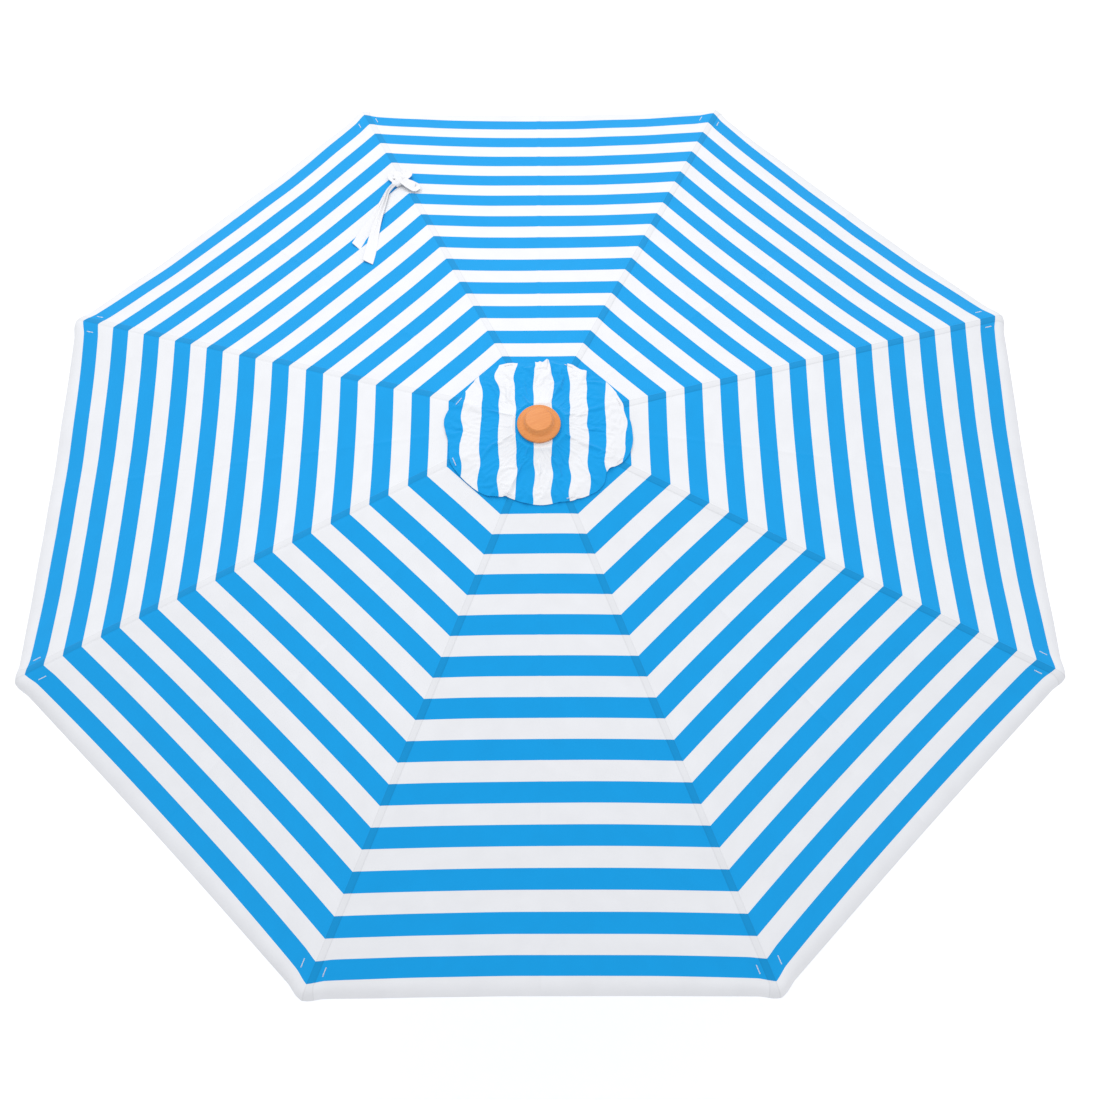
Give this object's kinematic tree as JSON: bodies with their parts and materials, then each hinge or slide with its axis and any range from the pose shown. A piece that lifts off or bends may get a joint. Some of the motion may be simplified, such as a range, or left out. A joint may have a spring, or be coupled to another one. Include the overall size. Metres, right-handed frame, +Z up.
{
  "type": "beach umbrella",
  "caption": "Octagonal striped beach umbrella with a vent cap, a turned finial, a folding wooden frame and a two-part pole.",
  "frame": {"origin": "centre of the pole's lower end, at the sand tip's point", "axes": "+Z up along the pole, -Y towards the runner's thumbscrew, canopy rims parallel to X and Y"},
  "size_m": [2.0332, 2.0332, 2.2],
  "materials": {
    "pole_wood": "varnished",
    "turned_wood": "stained and varnished",
    "rib_wood": "varnished",
    "steel": "plated",
    "brass": "polished",
    "nylon": "moulded",
    "sand_tip_plastic": "moulded",
    "canopy_cloth": "woven, printed with blue and white stripes",
    "white_tape": "woven"
  },
  "bodies": {
    "lower_pole": {"lower_pole": "pole_wood", "sand_tip": "sand_tip_plastic", "ferrule": "steel", "ferrule_screws": "steel"},
    "mast": {"upper_pole": "pole_wood", "hub": "turned_wood", "hub_dowel": "pole_wood", "hub_pins": "steel", "cap_washer": "brass", "vent_cap_patch": "canopy_cloth"},
    "finial": {"finial": "turned_wood", "finial_stud": "steel"},
    "rib_1": {"rib_1": "rib_wood", "rib_hardware_1": "steel", "canopy_gore_1": "canopy_cloth", "vent_cap_1": "canopy_cloth"},
    "rib_2": {"rib_2": "rib_wood", "rib_hardware_2": "steel", "canopy_gore_2": "canopy_cloth", "vent_cap_2": "canopy_cloth"},
    "rib_3": {"rib_3": "rib_wood", "rib_hardware_3": "steel", "canopy_gore_3": "canopy_cloth", "vent_cap_3": "canopy_cloth", "tie_strap": "white_tape"},
    "rib_4": {"rib_4": "rib_wood", "rib_hardware_4": "steel", "canopy_gore_4": "canopy_cloth", "vent_cap_4": "canopy_cloth"},
    "rib_5": {"rib_5": "rib_wood", "rib_hardware_5": "steel", "canopy_gore_5": "canopy_cloth", "vent_cap_5": "canopy_cloth"},
    "rib_6": {"rib_6": "rib_wood", "rib_hardware_6": "steel", "canopy_gore_6": "canopy_cloth", "vent_cap_6": "canopy_cloth"},
    "rib_7": {"rib_7": "rib_wood", "rib_hardware_7": "steel", "canopy_gore_7": "canopy_cloth", "vent_cap_7": "canopy_cloth"},
    "rib_8": {"rib_8": "rib_wood", "rib_hardware_8": "steel", "canopy_gore_8": "canopy_cloth", "vent_cap_8": "canopy_cloth"},
    "stretcher_1": {"stretcher_1": "rib_wood"},
    "stretcher_2": {"stretcher_2": "rib_wood"},
    "stretcher_3": {"stretcher_3": "rib_wood"},
    "stretcher_4": {"stretcher_4": "rib_wood"},
    "stretcher_5": {"stretcher_5": "rib_wood"},
    "stretcher_6": {"stretcher_6": "rib_wood"},
    "stretcher_7": {"stretcher_7": "rib_wood"},
    "stretcher_8": {"stretcher_8": "rib_wood"},
    "runner": {"runner": "turned_wood", "runner_bushing": "nylon", "runner_pins": "steel", "screw_insert": "brass"},
    "thumbscrew": {"thumbscrew": "brass"}
  },
  "joints": [
    {"name": "mast_lift", "type": "slide", "parent": "lower_pole", "child": "mast", "axis": [0, 0, 1], "range_m": [0, 0.08]},
    {"name": "finial_screw", "type": "hinge", "parent": "mast", "child": "finial", "pos_m": [0, 0, 2.16], "axis": [0, 0, 1], "continuous": true},
    {"name": "rib_1_fold", "type": "hinge", "parent": "mast", "child": "rib_1", "pos_m": [0.02956, 0.01225, 2.16], "axis": [-0.3827, 0.9239, 0], "range_deg": [0, 75.7], "deforming": ["canopy_gore_1", "vent_cap_1"]},
    {"name": "rib_2_fold", "type": "hinge", "parent": "mast", "child": "rib_2", "pos_m": [0.01225, 0.02956, 2.16], "axis": [-0.9239, 0.3827, 0], "range_deg": [-1, 76.7], "deforming": ["canopy_gore_2", "vent_cap_2"]},
    {"name": "rib_3_fold", "type": "hinge", "parent": "mast", "child": "rib_3", "pos_m": [-0.01225, 0.02956, 2.16], "axis": [-0.9239, -0.3827, 0], "range_deg": [-1, 76.7], "deforming": ["canopy_gore_3", "vent_cap_3"]},
    {"name": "rib_4_fold", "type": "hinge", "parent": "mast", "child": "rib_4", "pos_m": [-0.02956, 0.01225, 2.16], "axis": [-0.3827, -0.9239, 0], "range_deg": [-1, 76.7], "deforming": ["canopy_gore_4", "vent_cap_4"]},
    {"name": "rib_5_fold", "type": "hinge", "parent": "mast", "child": "rib_5", "pos_m": [-0.02956, -0.01225, 2.16], "axis": [0.3827, -0.9239, 0], "range_deg": [-1, 76.7], "deforming": ["canopy_gore_5", "vent_cap_5"]},
    {"name": "rib_6_fold", "type": "hinge", "parent": "mast", "child": "rib_6", "pos_m": [-0.01225, -0.02956, 2.16], "axis": [0.9239, -0.3827, 0], "range_deg": [-1, 76.7], "deforming": ["canopy_gore_6", "vent_cap_6"]},
    {"name": "rib_7_fold", "type": "hinge", "parent": "mast", "child": "rib_7", "pos_m": [0.01225, -0.02956, 2.16], "axis": [0.9239, 0.3827, 0], "range_deg": [-1, 76.7], "deforming": ["canopy_gore_7", "vent_cap_7"]},
    {"name": "rib_8_fold", "type": "hinge", "parent": "mast", "child": "rib_8", "pos_m": [0.02956, -0.01225, 2.16], "axis": [0.3827, 0.9239, 0], "range_deg": [-1, 76.7], "deforming": ["canopy_gore_8", "vent_cap_8"]},
    {"name": "stretcher_1_fold", "type": "hinge", "parent": "rib_1", "child": "stretcher_1", "pos_m": [0.4958, 0.20537, 2.03359], "axis": [-0.3827, 0.9239, 0], "range_deg": [-153.4, 2]},
    {"name": "stretcher_2_fold", "type": "hinge", "parent": "rib_2", "child": "stretcher_2", "pos_m": [0.20537, 0.4958, 2.03359], "axis": [-0.9239, 0.3827, 0], "range_deg": [-153.4, 2]},
    {"name": "stretcher_3_fold", "type": "hinge", "parent": "rib_3", "child": "stretcher_3", "pos_m": [-0.20537, 0.4958, 2.03359], "axis": [-0.9239, -0.3827, 0], "range_deg": [-153.4, 2]},
    {"name": "stretcher_4_fold", "type": "hinge", "parent": "rib_4", "child": "stretcher_4", "pos_m": [-0.4958, 0.20537, 2.03359], "axis": [-0.3827, -0.9239, 0], "range_deg": [-153.4, 2]},
    {"name": "stretcher_5_fold", "type": "hinge", "parent": "rib_5", "child": "stretcher_5", "pos_m": [-0.4958, -0.20537, 2.03359], "axis": [0.3827, -0.9239, 0], "range_deg": [-153.4, 2]},
    {"name": "stretcher_6_fold", "type": "hinge", "parent": "rib_6", "child": "stretcher_6", "pos_m": [-0.20537, -0.4958, 2.03359], "axis": [0.9239, -0.3827, 0], "range_deg": [-153.4, 2]},
    {"name": "stretcher_7_fold", "type": "hinge", "parent": "rib_7", "child": "stretcher_7", "pos_m": [0.20537, -0.4958, 2.03359], "axis": [0.9239, 0.3827, 0], "range_deg": [-153.4, 2]},
    {"name": "stretcher_8_fold", "type": "hinge", "parent": "rib_8", "child": "stretcher_8", "pos_m": [0.4958, -0.20537, 2.03359], "axis": [0.3827, 0.9239, 0], "range_deg": [-153.4, 2]},
    {"name": "runner_turn", "type": "hinge", "parent": "stretcher_1", "child": "runner", "pos_m": [0.02956, 0.01225, 1.90718], "axis": [-0.3827, 0.9239, 0], "range_deg": [-1, 76.7]},
    {"name": "thumbscrew_turn", "type": "hinge", "parent": "runner", "child": "thumbscrew", "pos_m": [0, -0.02, 1.85718], "axis": [0, -1, 0], "range_deg": [-270, 0]}
  ],
  "couplings": [
    {"joint": "rib_2_fold", "follows": "rib_1_fold", "ratio": 1},
    {"joint": "rib_3_fold", "follows": "rib_1_fold", "ratio": 1},
    {"joint": "rib_4_fold", "follows": "rib_1_fold", "ratio": 1},
    {"joint": "rib_5_fold", "follows": "rib_1_fold", "ratio": 1},
    {"joint": "rib_6_fold", "follows": "rib_1_fold", "ratio": 1},
    {"joint": "rib_7_fold", "follows": "rib_1_fold", "ratio": 1},
    {"joint": "rib_8_fold", "follows": "rib_1_fold", "ratio": 1},
    {"joint": "stretcher_1_fold", "follows": "rib_1_fold", "ratio": -2},
    {"joint": "stretcher_2_fold", "follows": "rib_1_fold", "ratio": -2},
    {"joint": "stretcher_3_fold", "follows": "rib_1_fold", "ratio": -2},
    {"joint": "stretcher_4_fold", "follows": "rib_1_fold", "ratio": -2},
    {"joint": "stretcher_5_fold", "follows": "rib_1_fold", "ratio": -2},
    {"joint": "stretcher_6_fold", "follows": "rib_1_fold", "ratio": -2},
    {"joint": "stretcher_7_fold", "follows": "rib_1_fold", "ratio": -2},
    {"joint": "stretcher_8_fold", "follows": "rib_1_fold", "ratio": -2},
    {"joint": "runner_turn", "follows": "rib_1_fold", "ratio": 1}
  ]
}
